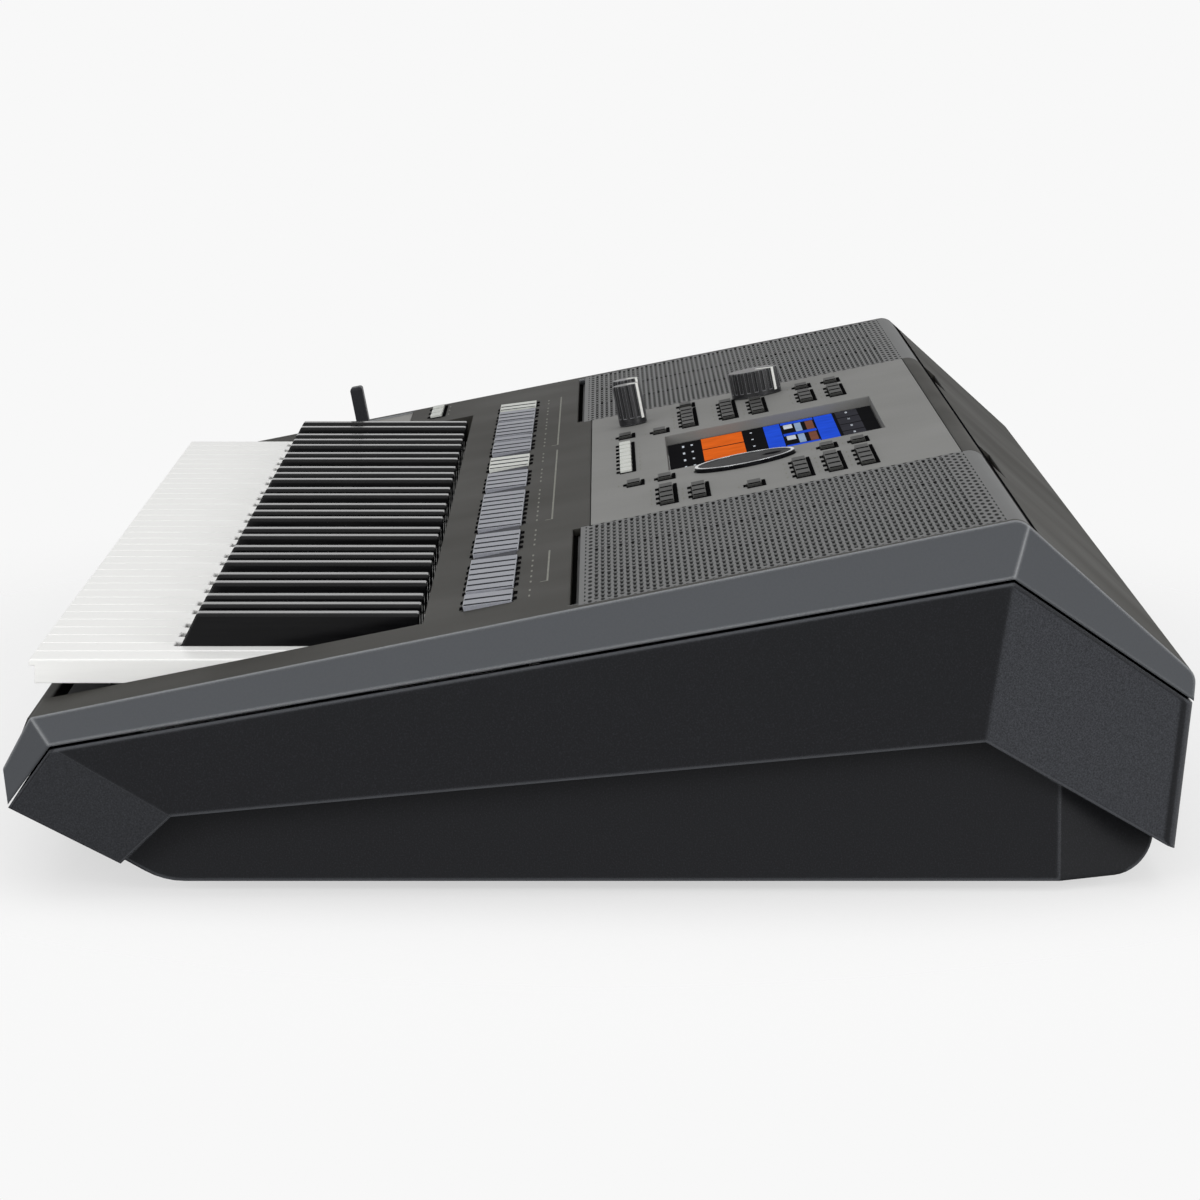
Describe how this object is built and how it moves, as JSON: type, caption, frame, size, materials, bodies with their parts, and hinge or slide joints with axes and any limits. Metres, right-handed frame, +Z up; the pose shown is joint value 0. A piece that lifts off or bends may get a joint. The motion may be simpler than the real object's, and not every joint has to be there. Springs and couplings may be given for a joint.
{
  "type": "arranger keyboard",
  "caption": "Free-standing arranger keyboard: long plastic case with piano keys, sloping panel with display, buttons, dials, joystick and speaker grilles, and rear sockets.",
  "frame": {"origin": "centre of the overall box, on the plane under the feet", "axes": "+X along the keys towards the treble end, +Y from the player to the rear, +Z up"},
  "size_m": [1.017, 0.4325, 0.1381],
  "materials": {
    "upper_case": "fine satin texture",
    "lower_case": "fine sparkle texture",
    "centre_panel": "satin",
    "grille": "satin paint",
    "dark_plastic": "matte",
    "speaker_cone": "matte paper",
    "display": "smooth",
    "display_glass": "clear gloss",
    "circuit_board": "solder mask",
    "steel": "zinc plated",
    "felt": "felt",
    "contact_rubber": "matte",
    "socket": "moulded",
    "foot_rubber": "matte",
    "screw_steel": "blackened",
    "white_key": "polished",
    "black_key": "satin gloss",
    "long_button": "satin",
    "white_button": "satin",
    "small_button": "satin",
    "dial": "satin with fine rings",
    "knob": "moulded ribs",
    "joystick": "satin"
  },
  "bodies": {
    "case": {"lower_case": "lower_case", "upper_case": "upper_case", "front_rail": "upper_case", "centre_panel": "centre_panel", "speaker_grilles": "grille", "speaker_baffles": "dark_plastic", "speaker_drivers": "speaker_cone", "display_module": "display", "display_glass": "display_glass", "main_board": "circuit_board", "panel_boards": "circuit_board", "keybed_chassis": "steel", "key_hinge_rail": "dark_plastic", "key_felt": "felt", "key_contact_strip": "contact_rubber", "rear_sockets": "socket", "rubber_feet": "foot_rubber", "case_screws": "screw_steel"},
    "key_c": {"key_c": "white_key"},
    "key_c_sharp": {"key_c_sharp": "black_key"},
    "key_d": {"key_d": "white_key"},
    "key_d_sharp": {"key_d_sharp": "black_key"},
    "key_e": {"key_e": "white_key"},
    "key_f": {"key_f": "white_key"},
    "key_f_sharp": {"key_f_sharp": "black_key"},
    "key_g": {"key_g": "white_key"},
    "key_g_sharp": {"key_g_sharp": "black_key"},
    "key_a": {"key_a": "white_key"},
    "key_a_sharp": {"key_a_sharp": "black_key"},
    "key_b": {"key_b": "white_key"},
    "key_high_c": {"key_high_c": "white_key"},
    "low_white_keys": {"low_white_keys": "white_key"},
    "low_black_keys": {"low_black_keys": "black_key"},
    "middle_white_keys": {"middle_white_keys": "white_key"},
    "middle_black_keys": {"middle_black_keys": "black_key"},
    "long_buttons_1": {"long_buttons_1": "long_button"},
    "long_buttons_2": {"long_buttons_2": "long_button"},
    "long_buttons_3": {"long_buttons_3": "long_button"},
    "long_buttons_4": {"long_buttons_4": "long_button"},
    "long_buttons_5": {"long_buttons_5": "long_button"},
    "long_buttons_6": {"long_buttons_6": "white_button"},
    "long_buttons_7": {"long_buttons_7": "long_button"},
    "long_buttons_8": {"long_buttons_8": "long_button"},
    "long_buttons_9": {"long_buttons_9": "long_button"},
    "long_buttons_10": {"long_buttons_10": "white_button"},
    "articulation_buttons": {"articulation_buttons": "white_button"},
    "number_buttons": {"number_buttons": "white_button"},
    "left_buttons": {"left_buttons": "small_button"},
    "right_rear_buttons": {"right_rear_buttons": "small_button"},
    "right_front_buttons": {"right_front_buttons": "small_button"},
    "exit_buttons": {"exit_buttons": "small_button"},
    "page_buttons": {"page_buttons": "small_button"},
    "data_dial": {"data_dial": "dial"},
    "volume_dial": {"volume_dial": "knob"},
    "live_knob_1": {"live_knob_1": "knob"},
    "live_knob_2": {"live_knob_2": "knob"},
    "joystick_gimbal": {"joystick_gimbal": "dark_plastic"},
    "joystick_lever": {"joystick_lever": "joystick"},
    "power_button": {"power_button": "small_button"}
  },
  "joints": [
    {"name": "key_c_turn", "type": "hinge", "parent": "case", "child": "key_c", "pos_m": [0, -0.022, 0.074], "axis": [1, 0, 0], "range_deg": [0, 3], "stiffness_Nm_per_rad": 1, "springref_deg": -5.73},
    {"name": "key_c_sharp_turn", "type": "hinge", "parent": "case", "child": "key_c_sharp", "pos_m": [0, -0.022, 0.074], "axis": [1, 0, 0], "range_deg": [0, 3], "stiffness_Nm_per_rad": 1, "springref_deg": -5.73},
    {"name": "key_d_turn", "type": "hinge", "parent": "case", "child": "key_d", "pos_m": [0, -0.022, 0.074], "axis": [1, 0, 0], "range_deg": [0, 3], "stiffness_Nm_per_rad": 1, "springref_deg": -5.73},
    {"name": "key_d_sharp_turn", "type": "hinge", "parent": "case", "child": "key_d_sharp", "pos_m": [0, -0.022, 0.074], "axis": [1, 0, 0], "range_deg": [0, 3], "stiffness_Nm_per_rad": 1, "springref_deg": -5.73},
    {"name": "key_e_turn", "type": "hinge", "parent": "case", "child": "key_e", "pos_m": [0, -0.022, 0.074], "axis": [1, 0, 0], "range_deg": [0, 3], "stiffness_Nm_per_rad": 1, "springref_deg": -5.73},
    {"name": "key_f_turn", "type": "hinge", "parent": "case", "child": "key_f", "pos_m": [0, -0.022, 0.074], "axis": [1, 0, 0], "range_deg": [0, 3], "stiffness_Nm_per_rad": 1, "springref_deg": -5.73},
    {"name": "key_f_sharp_turn", "type": "hinge", "parent": "case", "child": "key_f_sharp", "pos_m": [0, -0.022, 0.074], "axis": [1, 0, 0], "range_deg": [0, 3], "stiffness_Nm_per_rad": 1, "springref_deg": -5.73},
    {"name": "key_g_turn", "type": "hinge", "parent": "case", "child": "key_g", "pos_m": [0, -0.022, 0.074], "axis": [1, 0, 0], "range_deg": [0, 3], "stiffness_Nm_per_rad": 1, "springref_deg": -5.73},
    {"name": "key_g_sharp_turn", "type": "hinge", "parent": "case", "child": "key_g_sharp", "pos_m": [0, -0.022, 0.074], "axis": [1, 0, 0], "range_deg": [0, 3], "stiffness_Nm_per_rad": 1, "springref_deg": -5.73},
    {"name": "key_a_turn", "type": "hinge", "parent": "case", "child": "key_a", "pos_m": [0, -0.022, 0.074], "axis": [1, 0, 0], "range_deg": [0, 3], "stiffness_Nm_per_rad": 1, "springref_deg": -5.73},
    {"name": "key_a_sharp_turn", "type": "hinge", "parent": "case", "child": "key_a_sharp", "pos_m": [0, -0.022, 0.074], "axis": [1, 0, 0], "range_deg": [0, 3], "stiffness_Nm_per_rad": 1, "springref_deg": -5.73},
    {"name": "key_b_turn", "type": "hinge", "parent": "case", "child": "key_b", "pos_m": [0, -0.022, 0.074], "axis": [1, 0, 0], "range_deg": [0, 3], "stiffness_Nm_per_rad": 1, "springref_deg": -5.73},
    {"name": "key_high_c_turn", "type": "hinge", "parent": "case", "child": "key_high_c", "pos_m": [0, -0.022, 0.074], "axis": [1, 0, 0], "range_deg": [0, 3], "stiffness_Nm_per_rad": 1, "springref_deg": -5.73},
    {"name": "low_white_keys_turn", "type": "hinge", "parent": "case", "child": "low_white_keys", "pos_m": [0, -0.022, 0.074], "axis": [1, 0, 0], "range_deg": [0, 3], "stiffness_Nm_per_rad": 14, "springref_deg": -5.73},
    {"name": "low_black_keys_turn", "type": "hinge", "parent": "case", "child": "low_black_keys", "pos_m": [0, -0.022, 0.074], "axis": [1, 0, 0], "range_deg": [0, 3], "stiffness_Nm_per_rad": 10, "springref_deg": -5.73},
    {"name": "middle_white_keys_turn", "type": "hinge", "parent": "case", "child": "middle_white_keys", "pos_m": [0, -0.022, 0.074], "axis": [1, 0, 0], "range_deg": [0, 3], "stiffness_Nm_per_rad": 14, "springref_deg": -5.73},
    {"name": "middle_black_keys_turn", "type": "hinge", "parent": "case", "child": "middle_black_keys", "pos_m": [0, -0.022, 0.074], "axis": [1, 0, 0], "range_deg": [0, 3], "stiffness_Nm_per_rad": 10, "springref_deg": -5.73},
    {"name": "long_buttons_1_press", "type": "slide", "parent": "case", "child": "long_buttons_1", "axis": [0, 0.1961, -0.9806], "range_m": [0, 0.0008], "stiffness_N_per_m": 1000, "springref_m": -0.001},
    {"name": "long_buttons_2_press", "type": "slide", "parent": "case", "child": "long_buttons_2", "axis": [0, 0.1961, -0.9806], "range_m": [0, 0.0008], "stiffness_N_per_m": 1000, "springref_m": -0.001},
    {"name": "long_buttons_3_press", "type": "slide", "parent": "case", "child": "long_buttons_3", "axis": [0, 0.1961, -0.9806], "range_m": [0, 0.0008], "stiffness_N_per_m": 1000, "springref_m": -0.001},
    {"name": "long_buttons_4_press", "type": "slide", "parent": "case", "child": "long_buttons_4", "axis": [0, 0.1961, -0.9806], "range_m": [0, 0.0008], "stiffness_N_per_m": 1000, "springref_m": -0.001},
    {"name": "long_buttons_5_press", "type": "slide", "parent": "case", "child": "long_buttons_5", "axis": [0, 0.1961, -0.9806], "range_m": [0, 0.0008], "stiffness_N_per_m": 1000, "springref_m": -0.001},
    {"name": "long_buttons_6_press", "type": "slide", "parent": "case", "child": "long_buttons_6", "axis": [0, 0.1961, -0.9806], "range_m": [0, 0.0008], "stiffness_N_per_m": 1000, "springref_m": -0.001},
    {"name": "long_buttons_7_press", "type": "slide", "parent": "case", "child": "long_buttons_7", "axis": [0, 0.1961, -0.9806], "range_m": [0, 0.0008], "stiffness_N_per_m": 1000, "springref_m": -0.001},
    {"name": "long_buttons_8_press", "type": "slide", "parent": "case", "child": "long_buttons_8", "axis": [0, 0.1961, -0.9806], "range_m": [0, 0.0008], "stiffness_N_per_m": 1000, "springref_m": -0.001},
    {"name": "long_buttons_9_press", "type": "slide", "parent": "case", "child": "long_buttons_9", "axis": [0, 0.1961, -0.9806], "range_m": [0, 0.0008], "stiffness_N_per_m": 1000, "springref_m": -0.001},
    {"name": "long_buttons_10_press", "type": "slide", "parent": "case", "child": "long_buttons_10", "axis": [0, 0.1961, -0.9806], "range_m": [0, 0.0008], "stiffness_N_per_m": 1000, "springref_m": -0.001},
    {"name": "articulation_buttons_press", "type": "slide", "parent": "case", "child": "articulation_buttons", "axis": [0, 0.1961, -0.9806], "range_m": [0, 0.0008], "stiffness_N_per_m": 1000, "springref_m": -0.001},
    {"name": "number_buttons_press", "type": "slide", "parent": "case", "child": "number_buttons", "axis": [0, 0.1961, -0.9806], "range_m": [0, 0.0008], "stiffness_N_per_m": 1000, "springref_m": -0.001},
    {"name": "left_buttons_press", "type": "slide", "parent": "case", "child": "left_buttons", "axis": [0, 0.1961, -0.9806], "range_m": [0, 0.0008], "stiffness_N_per_m": 1000, "springref_m": -0.001},
    {"name": "right_rear_buttons_press", "type": "slide", "parent": "case", "child": "right_rear_buttons", "axis": [0, 0.1961, -0.9806], "range_m": [0, 0.0008], "stiffness_N_per_m": 1000, "springref_m": -0.001},
    {"name": "right_front_buttons_press", "type": "slide", "parent": "case", "child": "right_front_buttons", "axis": [0, 0.1961, -0.9806], "range_m": [0, 0.0008], "stiffness_N_per_m": 1000, "springref_m": -0.001},
    {"name": "exit_buttons_press", "type": "slide", "parent": "case", "child": "exit_buttons", "axis": [0, 0.1961, -0.9806], "range_m": [0, 0.0008], "stiffness_N_per_m": 1000, "springref_m": -0.001},
    {"name": "page_buttons_press", "type": "slide", "parent": "case", "child": "page_buttons", "axis": [0, 0.1961, -0.9806], "range_m": [0, 0.0008], "stiffness_N_per_m": 1000, "springref_m": -0.001},
    {"name": "power_button_press", "type": "slide", "parent": "case", "child": "power_button", "axis": [0, -1, 0], "range_m": [0, 0.0025], "stiffness_N_per_m": 600, "springref_m": -0.002},
    {"name": "data_dial_turn", "type": "hinge", "parent": "case", "child": "data_dial", "pos_m": [0.106, 0.06178, 0.12076], "axis": [0, -0.1961, 0.9806], "continuous": true},
    {"name": "volume_dial_turn", "type": "hinge", "parent": "case", "child": "volume_dial", "pos_m": [-0.193, 0.07501, 0.1234], "axis": [0, -0.1961, 0.9806], "range_deg": [-150, 150]},
    {"name": "live_knob_1_turn", "type": "hinge", "parent": "case", "child": "live_knob_1", "pos_m": [-0.198, 0.01569, 0.11154], "axis": [0, -0.1961, 0.9806], "range_deg": [-150, 150]},
    {"name": "live_knob_2_turn", "type": "hinge", "parent": "case", "child": "live_knob_2", "pos_m": [-0.168, 0.01569, 0.11154], "axis": [0, -0.1961, 0.9806], "range_deg": [-150, 150]},
    {"name": "joystick_gimbal_turn", "type": "hinge", "parent": "case", "child": "joystick_gimbal", "pos_m": [-0.453, -0.12125, 0.06987], "axis": [0, 0.9806, 0.1961], "range_deg": [-18, 18], "stiffness_Nm_per_rad": 0.3},
    {"name": "joystick_lever_turn", "type": "hinge", "parent": "joystick_gimbal", "child": "joystick_lever", "pos_m": [-0.453, -0.12125, 0.06987], "axis": [1, 0, 0], "range_deg": [-18, 18], "stiffness_Nm_per_rad": 0.3}
  ]
}
